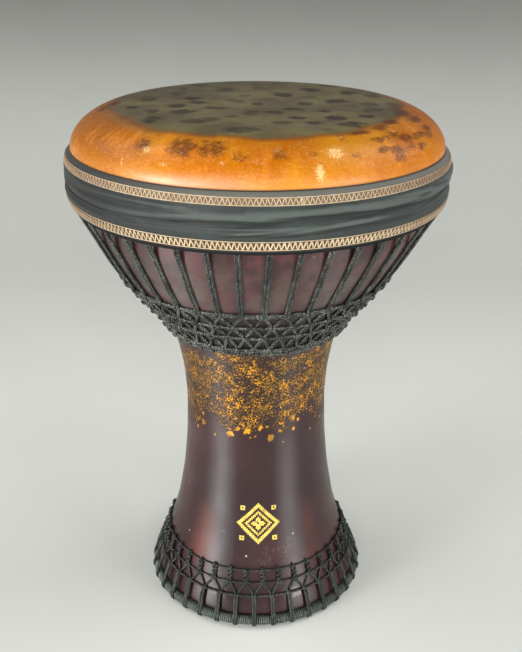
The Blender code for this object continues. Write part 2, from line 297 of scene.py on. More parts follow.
NET_ROWS = [ring_place(f"net_cord_{i}")[1] for i in range(1, 5)]
WAIST_ROWS = [ring_place(f"waist_cord_{name}")[1] for name in ("upper", "lower")]
FOOT_ROWS = [ring_place(f"foot_cord_{name}")[1] for name in ("lower", "middle", "upper")]
HALF_STRAP = math.pi / STRAPS
HALF_FOOT = math.pi / FOOT_PAIRS
HOOP_R, HOOP_Z = ring_place("flesh_hoop")
RING_R = ring_place("foot_ring")[0] + RING_SPREAD
RING_Z = ring_place("foot_ring")[1] - RING_DROP


def clay_radius(z):
    return np.interp(z, CLAY_Z, CLAY_R)


def clay_tilt(z):
    return np.arctan(np.interp(z, CLAY_Z, CLAY_SLOPE))


def off_clay(z, lift):
    """Radius at height z of a point that lies lift off the clay, square to its surface."""
    z = np.asarray(z, float)
    base = z
    for _ in range(6):
        tilt = clay_tilt(base)
        base = z + lift * np.sin(tilt)
    return clay_radius(base) + lift * np.cos(tilt)


def at(radius, angle, z):
    """Points at a radius, an angle from the front and a height, with the clay's lean."""
    radius, angle, z = np.broadcast_arrays(radius, angle, z)
    lean = np.interp(z, LEAN_Z, LEAN_X)
    return np.stack([radius * np.sin(angle) + lean, -radius * np.cos(angle), z], axis=-1)


def level_ring(radius, z, steps):
    return at(radius, TAU * np.arange(steps) / steps, z)


def on_clay(angle, z, lift):
    return at(off_clay(z, lift), angle, z)


def turned_away(angle, middle):
    """How far an angle is from the middle one, from -pi to pi."""
    return (angle - middle + math.pi) % TAU - math.pi


# Meshes

def mesh_piece(name, verts, quads, materials, replaces=(), caps=(), face_materials=None, marks=None):
    """A smooth-shaded mesh that rides on the drum. caps are more faces, marks are numbers for each point."""
    verts = np.asarray(verts, np.float32).reshape(-1, 3)
    quads = np.asarray(quads, np.int32)
    corners = np.concatenate([quads.ravel()] + [np.asarray(cap) for cap in caps]).astype(np.int32)
    sizes = np.concatenate([np.full(len(quads), 4), [len(cap) for cap in caps]]).astype(np.int32)
    mesh = bpy.data.meshes.new(name)
    mesh.vertices.add(len(verts))
    mesh.vertices.foreach_set("co", verts.ravel())
    mesh.loops.add(len(corners))
    mesh.loops.foreach_set("vertex_index", corners)
    mesh.polygons.add(len(sizes))
    mesh.polygons.foreach_set("loop_start", (np.cumsum(sizes) - sizes).astype(np.int32))
    for mat in materials:
        mesh.materials.append(mat)
    if face_materials is not None:
        mesh.polygons.foreach_set("material_index", np.asarray(face_materials, np.int32))
    mesh.update(calc_edges=True)
    mesh.shade_smooth()
    for mark, values in (marks or {}).items():
        layer = mesh.attributes.new(mark, "FLOAT", "POINT")
        layer.data.foreach_set("value", np.asarray(values, np.float32).ravel())
    piece = bpy.data.objects.new(name, mesh)
    bpy.context.scene.collection.objects.link(piece)
    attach(piece, "root")
    if replaces:
        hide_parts(*replaces)
    return piece


def grid_faces(rows, columns, first=0, closed_rows=False):
    """Quads of a grid whose points are stored row by row. Each row is a closed round."""
    i = np.arange(rows if closed_rows else rows - 1)[:, None]
    j = np.arange(columns)[None, :]
    up = (i + 1) % rows
    right = (j + 1) % columns
    corners = [i * columns + j, i * columns + right, up * columns + right, up * columns + j]
    return np.stack(corners, axis=-1).reshape(-1, 4) + first


def turned(outline, steps, wobble):
    """Points of (radius, height) rows turned about Z. wobble is a ripple's seed, size and height."""
    outline = np.asarray(outline)
    angles = TAU * np.arange(steps)[None, :] / steps
    radius = np.repeat(outline[:, :1], steps, axis=1)
    height = np.repeat(outline[:, 1:], steps, axis=1)
    return at(radius + ripple(angles, height, *wobble), angles, height)


def ripple(angle, z, seed, size, tall, parts=5):
    """Slow, seamless unevenness of a hand-made turned surface, about size high."""
    rng = random.Random(seed)
    total = 0.0
    for _ in range(parts):
        turns = rng.randint(1, 6)
        total = total + np.sin(turns * angle + z / tall * rng.uniform(2, 7) + rng.uniform(0, TAU))
    return size * total / parts


# Cords

def frames_along(points, closed):
    """Direction, and a steady sideways direction, at each point of a path."""
    ahead = np.roll(points, -1, axis=0)
    behind = np.roll(points, 1, axis=0)
    if not closed:
        ahead[-1] = points[-1]
        behind[0] = points[0]
    along = ahead - behind
    along /= np.linalg.norm(along, axis=1, keepdims=True)
    directions = [Vector(a) for a in along]
    side = directions[0].orthogonal().normalized()
    sides = [side]
    for before, after in zip(directions, directions[1:]):
        side = before.rotation_difference(after) @ side
        sides.append(side)
    if closed:
        last = directions[-1].rotation_difference(directions[0]) @ side
        miss = last.angle(sides[0])
        if last.cross(sides[0]).dot(directions[0]) < 0:
            miss = -miss
        count = len(sides)
        sides = [Matrix.Rotation(miss * i / count, 3, directions[i]) @ s for i, s in enumerate(sides)]
    return along, np.array(sides)


def run_lengths(points):
    """Way along a path to each of its points."""
    return np.concatenate([[0], np.cumsum(np.linalg.norm(np.diff(points, axis=0), axis=1))])


def blend(t, t0, t1, start, end):
    """Evenly from start at t0 to end at t1."""
    return (t1 - t) / (t1 - t0) * start + (t - t0) / (t1 - t0) * end


def even_path(points, closed, step):
    """Even points, about step apart, along a smooth curve through the given points."""
    points = np.asarray(points, float)
    if closed:
        loop = np.concatenate([points[-1:], points, points[:2]])
    else:
        loop = np.concatenate([[2 * points[0] - points[1]], points, [2 * points[-1] - points[-2]]])
    gaps = np.sqrt(np.linalg.norm(np.diff(loop, axis=0), axis=1))
    knots = np.concatenate([[0], np.cumsum(np.maximum(gaps, 1e-6))])
    dense = []
    for i in range(1, len(loop) - 2):
        t0, t1, t2, t3 = knots[i - 1:i + 3]
        p0, p1, p2, p3 = loop[i - 1:i + 3]
        count = max(4, int(2 * np.linalg.norm(p2 - p1) / step))
        t = np.linspace(t1, t2, count, endpoint=False)[:, None]
        a1 = blend(t, t0, t1, p0, p1)
        a2 = blend(t, t1, t2, p1, p2)
        a3 = blend(t, t2, t3, p2, p3)
        dense.append(blend(t, t1, t2, blend(t, t0, t2, a1, a2), blend(t, t1, t3, a2, a3)))
    dense = np.concatenate(dense)
    dense = np.concatenate([dense, dense[:1] if closed else points[-1:]])
    runs = run_lengths(dense)
    count = max(3, int(round(runs[-1] / step)))
    marks = np.linspace(0, runs[-1], count if closed else count + 1, endpoint=not closed)
    return np.stack([np.interp(marks, runs, dense[:, k]) for k in range(3)], axis=1)


class Weave(NamedTuple):
    """The surface of a cord: bumps round it and along it, as a braid or a twist makes."""
    sides: int
    bumps: int
    pitch: float
    depth: float
    twisted: bool = False

    def pattern(self, lengths, closed_length):
        """From -1 in the hollows to 1 on the bumps, for each point along and each side."""
        turn = (TAU * np.arange(self.sides) / self.sides)[None, :]
        pitch = self.pitch
        if closed_length:
            pitch = closed_length / max(1, round(closed_length / pitch))
        phase = TAU * lengths[:, None] / pitch
        if self.twisted:
            return np.cos(self.bumps * turn - phase)
        return np.cos(self.bumps * turn) * np.cos(phase)


BRAID = Weave(12, 3, 0.0024, 0.13)
THIN_BRAID = Weave(9, 3, 0.0021, 0.12)
TWINE = Weave(8, 2, 0.0016, 0.16, twisted=True)
PLAIN = Weave(12, 0, 0.01, 0.0)
PLAIN_THIN = Weave(8, 0, 0.01, 0.0)


def tubes(paths, radius, weave):
    """Points, side faces, end faces and raised marks of cords. A path is (points, closed)."""
    verts, quads, caps, raised, first = [], [], [], [], 0
    turn = TAU * np.arange(weave.sides) / weave.sides
    for points, closed in paths:
        along, sideways = frames_along(points, closed)
        square = np.cross(along, sideways)
        lengths = run_lengths(points)
        whole = lengths[-1] + np.linalg.norm(points[0] - points[-1]) if closed else None
        pattern = weave.pattern(lengths, whole)
        swell = radius * (1 + weave.depth * pattern)[..., None]
        round_it = (np.cos(turn)[None, :, None] * sideways[:, None, :]
                    + np.sin(turn)[None, :, None] * square[:, None, :])
        verts.append((points[:, None, :] + swell * round_it).reshape(-1, 3))
        raised.append((0.5 + 0.5 * pattern).ravel())
        count = len(points)
        quads.append(grid_faces(count, weave.sides, first, closed_rows=closed))
        if not closed:
            caps.append(np.arange(first + weave.sides - 1, first - 1, -1))
            last = first + (count - 1) * weave.sides
            caps.append(np.arange(last, last + weave.sides))
        first += count * weave.sides
    return np.concatenate(verts), np.concatenate(quads), caps, np.concatenate(raised)


def cord_piece(name, paths, radius, weave, mat, replaces=(), step=CORD_STEP):
    """Cords through the control points of each path, as one piece."""
    even = [(even_path(points, closed, step), closed) for points, closed in paths]
    verts, quads, caps, raised = tubes(even, radius, weave)
    mesh_piece(name, verts, quads, [mat], replaces, caps, marks={"raised": raised})


# Materials

# Larger dabs of gold on the stem, and chips in the glaze low on it: angle, height, radius
GOLD_DABS = ((-0.83, 0.186, 0.0024), (-0.37, 0.183, 0.0036), (0.20, 0.181, 0.0036), (0.52, 0.197, 0.0040),
             (-0.12, 0.189, 0.0026), (0.06, 0.192, 0.0028), (-0.26, 0.190, 0.0022), (0.34, 0.187, 0.0020))
CHIPS = ((-0.11, 0.0643, 0.0011), (0.40, 0.0776, 0.0007), (0.47, 0.0810, 0.0007), (-0.40, 0.0845, 0.0006))


def glaze_material():
    m = Material("glaze")
    angle = m.angle()
    base = m.mix(m.noise(11.0).ramp(0.35, 0.68), (36, 14, 16), (54, 25, 27))
    bowl = m.mix(m.noise(46.0, 4.0, 0.65).ramp(0.36, 0.62), (44, 20, 23), (84, 42, 46))
    # Paler low on the bowl: a painted reflection of the floor
    pale = m.z.ramp(0.388, 0.340) * m.noise(58.0, 3.0, 0.6).ramp(0.42, 0.58, 0.25, 0.95)
    bowl = bowl.over(pale, (80, 66, 62))
    # Painted shade on the bowl's left side
    bowl = bowl.over(m.x.ramp(-0.05, -0.13, 0.0, 0.75), (24, 13, 14))
    base = base.over(m.z.ramp(0.27, 0.34), bowl)
    # Dust and shade between the cords of the net
    under = m.z.ramp(0.326, 0.319) * m.z.ramp(0.266, 0.276)
    base = base.over(under * 0.85, (24, 18, 15))
    # Two faint reddish patches above the foot net, at the left and the right
    level = m.z.ramp(0.118, 0.080) * m.z.ramp(0.040, 0.060)
    patches = angle.near(-0.68, 0.26) + angle.near(0.72, 0.20) * 0.5
    reddish_patch = level * patches * m.noise(24.0).ramp(0.25, 0.6, 0.45, 1.0)
    base = base.over(reddish_patch * 0.42, (124, 58, 40))
    # Gold, spattered on: thick under the net, in bigger dabs where it thins out down the stem
    reach = m.z + m.noise(30.0).ramp(0.2, 0.8, -0.010, 0.015)
    density = reach.ramp(0.176, 0.206) * reach.ramp(0.283, 0.258, 0.25, 1.0)
    density = density * m.noise(70.0, 3.0, 0.6).ramp(0.34, 0.62, 0.60, 1.0)
    base = base.over(density * 0.9, (34, 19, 1))
    grain = m.noise(680.0, 2.0, 0.65)
    gold = (grain - density.ramp(0.0, 1.0, 0.82, 0.492)).ramp(0.0, 0.035)
    dab_far, dab_pick = m.cells(210.0)
    fringe = reach.ramp(0.170, 0.184) * reach.ramp(0.214, 0.196)
    dab_size = dab_pick.ramp(0.62, 1.0, 0.0, 0.46) * fringe
    dabs = (dab_size - (dab_far + (grain - 0.5) * 0.5)).ramp(0.0, 0.06)
    ragged = (m.noise(330.0) - 0.5) * 0.007
    gold = m.spots(m.maths("MAXIMUM", gold, dabs), GOLD_DABS, 0.066, ragged)
    paint = m.mix(m.noise(150.0).ramp(0.35, 0.65), (112, 74, 2), (212, 144, 4))
    paint = paint.over(m.noise(36.0).ramp(0.45, 0.65, 0.0, 0.7), (120, 88, 18))
    # Painted shade on the gold at the left
    paint = paint.over(m.x.ramp(-0.025, -0.060, 0.0, 0.55), (96, 62, 6))
    base = base.over(gold * 0.95, paint)
    # Small chips and dust
    chip_far, chip_pick = m.cells(95.0)
    chips = chip_far.ramp(0.10, 0.05) * chip_pick.ramp(0.945, 0.955)
    base = base.over(m.spots(chips, CHIPS, 0.080, ragged * 0.25), (176, 158, 146))
    # Fine scuffs low on the stem, in front
    scuffed = m.z.near(0.072, 0.030) * angle.near(0.12, 0.70)
    veins = m.noise(95.0, 3.0, 0.7, m.stretched(z=0.45), 1.8)
    lines = abs(veins - 0.5).ramp(0.010, 0.0)
    patchy = m.noise(60.0).ramp(0.50, 0.62) * 0.62
    base = base.over(scuffed * lines * patchy, (150, 130, 122))
    # Throwing rings spread a reflection up and down, and gold is rougher than glaze
    rough = m.noise(28.0, 4.0, 0.65).ramp(0.3, 0.75, 0.37, 0.46) + gold * 0.06 + density * 0.26
    m.set(Base_Color=base, Roughness=rough, Specular_IOR_Level=0.5)
    m.set(Anisotropic=0.88, Anisotropic_Rotation=0.25, Coat_Weight=0.22, Coat_Roughness=0.07)
    rings = m.noise(620.0, 2.0, 0.6, m.stretched(0.04, 0.04))
    lumps = m.bump(rings, 0.00010, 0.5)
    fine = m.bump(m.noise(420.0), 0.00005, 0.5, lumps)
    m.set(Normal=m.bump(gold, 0.00010, 0.8, fine))
    return m.mat


def skin_material():
    m = Material("hide")
    # Bare middle: olive-brown hide with dark pigment spots
    bare = m.mix(m.noise(17.0, 3.0).ramp(0.36, 0.64), (94, 83, 57), (122, 111, 73))
    bare = bare.over(m.noise(42.0, 3.0, 0.6).ramp(0.50, 0.72, 0.0, 0.50), (90, 74, 58))
    ragged = m.noise(95.0, 5.0, 0.7).ramp(0.28, 0.72, -0.42, 0.42)
    spots = (m.mark("pigment") + ragged).ramp(0.12, 0.84)
    bare = bare.over(spots * m.noise(26.0, 1.0).ramp(0.35, 0.62, 0.60, 0.92), (44, 36, 26))
    # Painted shade towards the back
    bare = bare.over(m.y.ramp(0.01, 0.10, 0.0, 0.42), (62, 54, 40))
    # Stained ring: amber, with painted shade at the sides and back, and paler low in front
    stain = m.mix(m.noise(24.0, 3.0).ramp(0.3, 0.7), (175, 95, 2), (199, 127, 6))
    # Painted shade towards the back and at both sides
    stain = stain.over(m.y.ramp(-0.085, -0.005, 0.0, 0.55), (150, 84, 34))
    stain = stain.over(m.x.ramp(-0.055, -0.125, 0.0, 0.85), (136, 74, 4))
    stain = stain.over(m.x.ramp(0.085, 0.140, 0.0, 0.6), (160, 84, 4))
    around = m.node("CombineXYZ", (m.angle() * 0.16, 0.0, m.z * 0.7))
    stain = stain.over(m.noise(64.0, 3.0, 0.65, around).ramp(0.50, 0.72, 0.0, 0.28), (242, 150, 44))
    # The low edge paler, most in front: paler hide with a painted highlight on it, strongest low on the
    # front left
    low = (m.z + (m.noise(30.0, 3.0, 0.6) - 0.5) * 0.014).ramp(0.4480, 0.4335)
    stain = stain.over(low * abs(m.angle()).ramp(1.5, 0.5, 0.35, 1.0) * 0.20, (222, 154, 88))
    worn_and_highlight = m.angle().near(-0.30, 0.50) * m.z.ramp(0.4440, 0.4340)
    stain = stain.over(worn_and_highlight * 0.42, (216, 172, 146))
    # Its mottles, cream patches and scratches, and a painted shadow along the band
    grains = m.noise(760.0, 3.0, 0.7)
    blotch = m.mark("mottle") * 0.42 + m.noise(170.0, 3.0, 0.6) * 0.66
    speckle = (blotch + grains * 0.50).ramp(0.76, 1.06)
    stain = stain.over(speckle * (m.mark("mottle").ramp(0.0, 0.45) * 0.85), (90, 44, 8))
    cream = (m.mark("cream") * 0.45 + grains * 1.2).ramp(0.82, 1.12)
    stain = stain.over(cream * 0.62, (250, 220, 156))
    scratches = m.noise(52.0, 3.0, 0.7, m.stretched(z=3.2), 2.4)
    stain = stain.over(abs(scratches - 0.5).ramp(0.012, 0.0) * 0.40, (252, 200, 126))
    # Painted shadow of the gap between hide and band
    gap_shadow = m.z.ramp(SHOULDER_FOOT + 0.0016, SHOULDER_FOOT + 0.0004, 0.0, 0.7)
    stain = stain.over(gap_shadow, (112, 66, 26))
    # More painted shade towards the back
    stain = stain.over(m.y.ramp(-0.060, 0.010, 0.0, 0.35), (140, 78, 20))
    # Its inner border runs further out in front, through a browned edge, and is blurred on the left
    wavy = m.noise(34.0, 3.0).ramp(0.2, 0.8, -0.0030, 0.0030)
    out = m.distance(m.x, m.y) + wavy - m.y.ramp(-0.050, -0.115, 0.0, 0.0052)
    crisp = out.ramp(HEAD_STAIN_R - 0.0030, HEAD_STAIN_R + 0.0026)
    blurred = out.ramp(HEAD_STAIN_R - 0.0050, HEAD_STAIN_R + 0.0110)
    left = m.x.ramp(-0.055, -0.100)
    base = bare.over(blurred * left + crisp * (1.0 - left), stain)
    browned = out.ramp(HEAD_STAIN_R - 0.0050, HEAD_STAIN_R) * out.ramp(HEAD_STAIN_R + 0.0052, HEAD_STAIN_R)
    base = base.over(browned * 0.55, (122, 62, 14))
    singed = (m.mark("singed") + (grains + (ragged - 0.5)) * 0.8).ramp(0.15, 1.0)
    base = base.over(singed * 0.78, (78, 36, 16))
    m.set(Base_Color=base, Roughness=m.noise(60.0, 3.0).ramp(0.3, 0.7, 0.30, 0.41), Specular_IOR_Level=0.21)
    grain = m.bump(m.noise(700.0), 0.00003, 0.4)
    m.set(Normal=m.bump(m.noise(90.0, 4.0, 0.6), 0.00025, 0.45, grain))
    return m.mat


def cord_material(name, dark, light, flecks=0.0):
    """Braid: dark, with light flecks painted on its raised yarns as highlights, on more of them where flecks
    is higher.
    """
    m = Material(name)
    raised = m.mark("raised") * 0.66 + m.noise(760.0, 1.0) * 0.90 + m.noise(60.0).ramp(0.3, 0.7, -0.06, 0.06)
    m.set(Base_Color=m.mix(raised.ramp(0.80 - flecks, 1.06 - flecks), dark, light), Roughness=0.5)
    m.set(Specular_IOR_Level=0.32, Sheen_Weight=0.04, Sheen_Roughness=0.4)
    m.set(Normal=m.bump(m.noise(1900.0), 0.00016, 0.7))
    return m.mat


def band_material():
    m = Material("band_cloth")
    base = m.mix(m.noise(18.0, 3.0).ramp(0.3, 0.7), (38, 42, 40), (51, 57, 54))
    # Painted shade in the creases and hollows, and painted light on the bellies of the folds
    fold_shade = m.mark("fold_shade") + m.noise(90.0, 3.0).ramp(0.3, 0.7, -0.10, 0.10)
    base = base.over(fold_shade.ramp(0.0, 0.85, 0.0, 0.92), (22, 25, 24))
    base = base.over(fold_shade.ramp(-0.02, -0.55, 0.0, 0.7), (86, 93, 88))
    # The hem above the upper trim, the shaded left, a painted shadow along the top edge, and the dark lower
    # edge
    base = base.over(m.z.ramp(UPPER_TRIM[1] - 0.0002, UPPER_TRIM[1] + 0.0002, 0.0, 0.85), (106, 106, 98))
    base = base.over(m.x.ramp(-0.01, -0.13, 0.0, 0.85), (20, 22, 21))
    base = base.over(m.z.ramp(BAND_HIGH - 0.0011, BAND_HIGH - 0.0006, 0.0, 0.9), (42, 32, 24))
    base = base.over(m.z.ramp(LOWER_TRIM[0] + 0.0003, LOWER_TRIM[0] - 0.0003), (15, 15, 15))
    weave = m.maths("SINE", m.angle() * 162.0 * 9.0) * m.maths("SINE", m.z * 9000.0)
    base = base.over(weave.ramp(-1.0, 1.0, 0.0, 0.25), (50, 54, 52))
    # The tapes that the trims are sewn on
    grain = m.noise(600.0)
    for (low, high), dark, light in ((UPPER_TRIM, (108, 88, 70), (148, 124, 98)),
                                     (LOWER_TRIM, (60, 48, 37), (102, 82, 62))):
        inside = m.z.ramp(low + 0.0001, low + 0.0006) * m.z.ramp(high - 0.0001, high - 0.0006)
        base = base.over(inside * 0.85, m.mix(grain, dark, light))
    m.set(Base_Color=base, Roughness=0.55, Specular_IOR_Level=0.25, Sheen_Weight=0.06, Sheen_Roughness=0.45)
    fine = m.bump(weave, 0.00006, 0.5)
    m.set(Normal=m.bump(m.noise(140.0, 3.0), 0.00025, 0.35, fine))
    return m.mat


def plain_material(name, share, dark, light, grain=None, **settings):
    """Two colours mixed by share(m). grain is a bump's noise scale and detail, depth and strength."""
    m = Material(name)
    m.set(Base_Color=m.mix(share(m), dark, light), **settings)
    if grain:
        m.set(Normal=m.bump(m.noise(*grain[:2]), *grain[2:]))
    return m


def thread_material():
    m = Material("cream_thread")
    tone = m.mark("raised") * 0.5 + m.noise(210.0, 3.0) * 0.6
    base = m.mix(tone.ramp(0.3, 0.75), (152, 124, 92), (210, 189, 154))
    # Painted shade on the thread towards the sides
    base = base.over(abs(m.x).ramp(0.080, 0.155, 0.0, 0.8), (122, 98, 73))
    m.set(Base_Color=base, Roughness=0.6, Sheen_Weight=0.2, Sheen_Roughness=0.4)
    m.set(Normal=m.bump(m.noise(1500.0), 0.0001, 0.6))
    return m.mat


def floor_material():
    """A pale floor that runs up into a backdrop, which greys with height."""
    m = Material("pale_floor")
    base = m.mix(m.noise(5.0, 3.0), (224, 226, 219), (230, 232, 225))
    grey = m.mix(m.noise(2.2, 3.0), (112, 112, 107), (126, 126, 121))
    base = base.over(m.y.ramp(0.25, 1.3, 0.0, 0.4), grey).over(m.z.ramp(0.0, 0.50), grey)
    m.set(Base_Color=base, Roughness=0.9, Specular_IOR_Level=0.2)
    return m.mat


# Clay and hide

def quarter(count, first=0):
    """Sine and cosine of angles from straight up to level, in count steps."""
    turns = [math.radians(90) * i / count for i in range(first, count + 1)]
    return [(math.sin(t), math.cos(t)) for t in turns]


def make_clay_body():
    """The thrown body: glazed outside, raw inside."""
    outer_z = np.concatenate([[FOOT_BEVEL], np.arange(PROFILE_STEP, SHOULDER_FOOT, PROFILE_STEP)])
    outer = [(clay_radius(0.0) - FOOT_BEVEL, 0.0)] + [(clay_radius(z), z) for z in outer_z]
    up = HEAD_TOP - SKIN_T - SKIN_GAP - SHOULDER_FOOT
    across = clay_radius(SHOULDER_FOOT) - HEAD_FLAT_R
    outer += [(HEAD_FLAT_R + across * sin, SHOULDER_FOOT + up * cos) for sin, cos in quarter(16)[::-1]]
    inner = [(HEAD_FLAT_R, SHOULDER_FOOT + up - CLAY_WALL)]
    inner += [(HEAD_FLAT_R + (across - CLAY_WALL) * sin, SHOULDER_FOOT + (up - CLAY_WALL) * cos)
              for sin, cos in quarter(8, 1)]
    for z in np.arange(SHOULDER_FOOT - INNER_STEP, 0.001, -INNER_STEP):
        inner.append((float(off_clay(z, -CLAY_WALL)), z))
    inner.append((clay_radius(0.0) - CLAY_WALL, 0.0))
    outline = np.array(outer + inner)
    points = turned(outline, CLAY_STEPS, (5, 0.00025, 0.06))
    faces = grid_faces(len(outline), CLAY_STEPS, closed_rows=True)
    inside = np.repeat(np.arange(len(outline)) >= len(outer), CLAY_STEPS)
    raw_clay = plain_material("raw_clay", lambda m: m.noise(40.0, 4.0).ramp(0.3, 0.7),
                              (132, 88, 66), (158, 108, 82), (500.0, 3.0, 0.0003, 0.7), Roughness=0.9)
    mesh_piece("clay_body", points, faces, [glaze_material(), raw_clay.mat],
               ["clay_shell"], face_materials=inside)


# Marks on the hide, in millimetres: x, y, half length, half width (and strength)
PIGMENT_SPOTS = (
    (-55, 18, 7, 8), (-50, 0, 8, 8), (-65, -18, 7, 8), (-35, -26, 9, 6), (-59, -44, 9, 10),
    (-84, -40, 6, 8), (-80, -72, 6, 10), (-48, -80, 9, 8), (-36, -71, 7, 8), (-6, -46, 7, 8),
    (12, -44, 7, 8), (18, -84, 7, 6), (42, -84, 6, 6), (60, -64, 8, 10), (66, 8, 9, 10), (91, -5, 7, 10),
    (93, -31, 8, 8), (-11, -108, 12, 8), (-18, 6, 7, 8), (21, 36, 8, 10), (39, -6, 6, 8), (30, -30, 8, 8),
    (-70, 42, 7, 10), (-30, 60, 8, 10), (4, 72, 7, 8), (46, 64, 8, 11), (78, 48, 7, 10), (-92, 12, 6, 10),
    (-52, 84, 7, 8), (20, 96, 8, 8), (64, 88, 7, 8), (98, 34, 6, 10), (-12, 30, 5, 6), (44, 26, 5, 6),
    (70, -86, 9, 8), (52, -36, 6, 6), (-20, -60, 5, 5), (30, -64, 6, 5), (-100, -26, 5, 6), (84, -56, 7, 6),
    (-66, 66, 5, 6), (0, -8, 5, 6))

# On the stained ring, with the half length around the ring and the half width down its curve
MOTTLES = (
    (-52, -128, 14, 12), (-30, -134, 13, 11), (-12, -143, 8, 5, 0.8), (16, -141, 9, 6, 0.8),
    (-82, -115, 9, 8), (87, -106, 8, 4), (100, -91, 10, 4), (110, -88, 11, 5), (123, -72, 12, 4),
    (102, -106, 11, 5),
    (114, -93, 10, 3), (91, -113, 8, 4), (105, -109, 9, 4), (124, -83, 10, 4), (132, -60, 10, 4),
    (94, -99, 6, 3), (118, -80, 7, 3), (62, -117, 6, 4, 0.8), (70, -128, 5, 4, 0.7), (40, -137, 5, 4, 0.7),
    (-70, -110, 4, 3, 0.7), (-120, 66, 9, 6), (-60, 126, 10, 7), (40, 132, 9, 6), (110, 84, 10, 6),
    (136, 20, 9, 5), (88, 104, 7, 5))
CREAM_PATCHES = (
    (55, -132, 7, 6), (44, -146, 4, 7), (97, -83, 2, 2), (101, -86, 2, 2), (94, -100, 2, 2),
    (60, -114, 2, 2), (-78, -121, 6, 4, 0.8), (-97, -118, 2, 5, 0.7), (-65, -136, 5, 2, 0.7),
    (14, -138, 4, 3, 0.7), (2, -147, 6, 2, 0.6), (-24, -146, 4, 2, 0.6), (-84, 112, 6, 4), (104, 96, 5, 4))
SINGED_EDGES = (
    (112, -36, 14, 5), (118, -34, 12, 5), (124, -42, 13, 5), (131, -52, 11, 4, 0.8), (91, -85, 11, 4),
    (100, -70, 11, 4), (75, -102, 9, 3), (112, -8, 15, 7), (-119, -2, 14, 5), (-126, -14, 12, 5, 0.8),
    (-118, 30, 12, 7), (96, 74, 13, 8), (30, 118, 13, 8))
SHOULDER_ROWS = 80                    # rows of the hide from its middle down to the band


def patch_share(along, across, size):
    """How far points lie inside a soft oval patch: its strength in the middle, half of that on its edge."""
    long, wide, *strength = size
    away = np.hypot(along / long, across / wide)
    return np.clip(1.5 - away, 0.0, 1.0) * (strength[0] if strength else 1.0)


def flat_patches(x, y, patches):
    share = np.zeros_like(x)
    for px, py, *size in patches:
        share = np.maximum(share, patch_share(x - px, y - py, size))
    return share


def ring_patches(radius, angle, down, patches):
    """Patches whose sizes run around the ring and down its curve. down is the way from the middle."""
    share = np.zeros_like(radius)
    for px, py, *size in patches:
        place = math.hypot(px, py)
        around = turned_away(angle, math.atan2(px, -py)) * place
        across = down - np.interp(place, radius[:SHOULDER_ROWS, 0], down[:SHOULDER_ROWS, 0])
        share = np.maximum(share, patch_share(around, across, size))
    return share


def make_head():
    """The hide: flat, over the rim, down behind the hoop and turned out under it."""
    outline = [(SKIN_MIDDLE_R, HEAD_TOP)]
    outline += [(r, HEAD_TOP) for r in np.linspace(0.004, HEAD_FLAT_R, 48)]
    drop = HEAD_TOP - SHOULDER_FOOT
    across = SKIN_R - HEAD_FLAT_R
    outline += [(HEAD_FLAT_R + across * sin, SHOULDER_FOOT + drop * cos) for sin, cos in quarter(32, 1)]
    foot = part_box("drum_skin")[0].z + SKIN_T
    skirt = clay_radius(foot) + SKIN_GAP + SKIN_T
    outline.append(((SKIN_R + skirt) / 2, (SHOULDER_FOOT + foot) / 2))
    outline += [(skirt, foot), (skirt + SKIRT_TURN, foot)]
    lower = [(max(r - 0.0003, SKIN_MIDDLE_R), z - SKIN_T) for r, z in outline[::-2]]
    outline = np.array(outline + lower)
    points = turned(outline, HIDE_STEPS, (9, 0.0002, 0.05))
    faces = grid_faces(len(outline), HIDE_STEPS)
    last = (len(outline) - 1) * HIDE_STEPS
    caps = [np.arange(HIDE_STEPS - 1, -1, -1), np.arange(last, last + HIDE_STEPS)]
    x, y = points[..., 0] * 1000, points[..., 1] * 1000
    down = run_lengths(outline * 1000)[:, None]
    ring = (np.repeat(outline[:, :1] * 1000, HIDE_STEPS, axis=1), np.arctan2(x, -y), down)
    marks = {"pigment": flat_patches(x, y, PIGMENT_SPOTS), "mottle": ring_patches(*ring, MOTTLES),
             "cream": ring_patches(*ring, CREAM_PATCHES), "singed": ring_patches(*ring, SINGED_EDGES)}
    mesh_piece("skin_head", points, faces, [skin_material()], ["drum_skin"], caps, marks=marks)


# The band

# Long creases: strength, and the angles and heights that they pass through
CREASES = (
    (1.0, ((-1.60, 0.4085), (-1.20, 0.4075), (-0.81, 0.4066), (-0.60, 0.4072), (-0.42, 0.4087),
           (-0.23, 0.4107), (-0.07, 0.4111), (0.12, 0.4117), (0.26, 0.4112))),
    (1.0, ((0.00, 0.4126), (0.12, 0.4136), (0.21, 0.4142), (0.41, 0.4151), (0.58, 0.4131),
           (0.90, 0.4112), (1.40, 0.4122))),
    (0.7, ((-1.10, 0.4158), (-0.80, 0.4166), (-0.59, 0.4168), (-0.39, 0.4160), (-0.20, 0.4168))),
    (0.5, ((-0.32, 0.4024), (-0.14, 0.4012), (0.10, 0.4014), (0.30, 0.4022))),
    (0.6, ((0.25, 0.4050), (0.44, 0.4043), (0.74, 0.4045), (0.95, 0.4040), (1.30, 0.4052))),
    (1.0, ((1.20, 0.4130), (1.80, 0.4118), (2.40, 0.4085), (3.10, 0.4100))),
    (1.0, ((2.80, 0.4060), (3.50, 0.4100), (4.20, 0.4130), (4.90, 0.4100))))
# Soft hollows, and bellies where the depth is negative: angle, height, half length, half width, depth
HOLLOWS = (
    (-1.40, 0.4108, 0.50, 0.0048, 0.0018), (-1.00, 0.4012, 0.45, 0.0018, -0.0004),
    (1.50, 0.4060, 0.30, 0.0040, 0.0010))
# Short soft wrinkles: ranges of their angle, height, slope, length, width and size
WRINKLE_RANGES = (
    (-math.pi, math.pi), (0.4015, 0.4205), (-0.014, 0.018), (0.08, 0.34), (0.0011, 0.0024),
    (0.00015, 0.00055))
WRINKLE_RNG = random.Random(21)
WRINKLES = [[WRINKLE_RNG.uniform(*span) for span in WRINKLE_RANGES] for _ in range(90)]


def bell(value, middle, width):
    """1 at middle, and a good third of that at width away."""
    return np.exp(-((value - middle) / width) ** 2)


